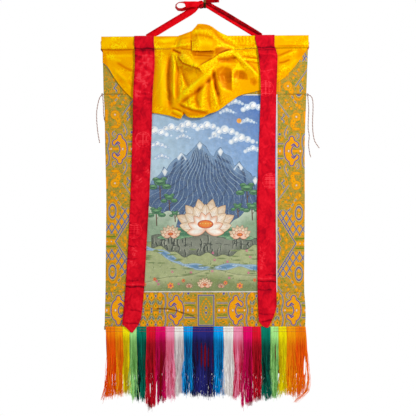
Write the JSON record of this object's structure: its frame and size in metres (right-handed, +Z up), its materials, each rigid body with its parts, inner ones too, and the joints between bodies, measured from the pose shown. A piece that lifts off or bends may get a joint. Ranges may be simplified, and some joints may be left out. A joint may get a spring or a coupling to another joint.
{
  "type": "thangka scroll painting with wall hook",
  "caption": "Painted canvas framed in brocade on a stave and a rod, with red bands, a gathered silk curtain and a fringe, hung by a ribbon on a hook.",
  "frame": {"origin": "middle of the wall hook's flat back, where it meets the wall", "axes": "+Y into the wall, +Z up, +X to the right of someone who looks at the painting"},
  "size_m": [0.6262, 0.0491, 1.1471],
  "materials": {
    "yellow_silk": "gloss",
    "red_damask": "satin",
    "red_satin": "gloss",
    "red_lining": "matte",
    "brocade": "satin",
    "painted_canvas": "matte",
    "wood": "matte",
    "brass": "satin",
    "twisted_cord": "matte",
    "thread_orange": "satin",
    "thread_amber": "satin",
    "thread_yellow": "satin",
    "thread_light_green": "satin",
    "thread_teal": "satin",
    "thread_crimson": "satin",
    "thread_magenta": "satin",
    "thread_pink": "satin",
    "thread_white": "satin",
    "thread_sky_blue": "satin",
    "thread_navy": "satin"
  },
  "bodies": {
    "root": {"wall_hook": "brass", "ribbon_left": "red_satin", "ribbon_right": "red_satin", "bow_knot": "red_satin", "bow_loop": "red_satin", "bow_tail": "red_satin", "top_stave": "wood", "top_sleeve": "yellow_silk", "brocade_top": "brocade", "brocade_left": "brocade", "brocade_right": "brocade", "brocade_bottom": "brocade", "painting": "painted_canvas", "band_left": "red_damask", "band_right": "red_damask", "curtain": "yellow_silk", "lining": "red_lining", "bottom_rod": "wood", "knot_left": "twisted_cord", "knot_right": "twisted_cord", "tie_left_outer": "twisted_cord", "tie_left_inner": "twisted_cord", "tie_right_outer": "twisted_cord", "tie_right_inner": "twisted_cord", "fringe_01": "thread_orange", "fringe_02": "thread_amber", "fringe_03": "thread_yellow", "fringe_04": "thread_light_green", "fringe_05": "thread_teal", "fringe_06": "thread_crimson", "fringe_07": "thread_magenta", "fringe_08": "thread_pink", "fringe_09": "thread_white", "fringe_10": "thread_sky_blue", "fringe_11": "thread_navy", "fringe_12": "thread_sky_blue", "fringe_13": "thread_white", "fringe_14": "thread_pink", "fringe_15": "thread_magenta", "fringe_16": "thread_crimson", "fringe_17": "thread_teal", "fringe_18": "thread_light_green", "fringe_19": "thread_yellow", "fringe_20": "thread_amber", "fringe_21": "thread_orange"}
  },
  "joints": []
}
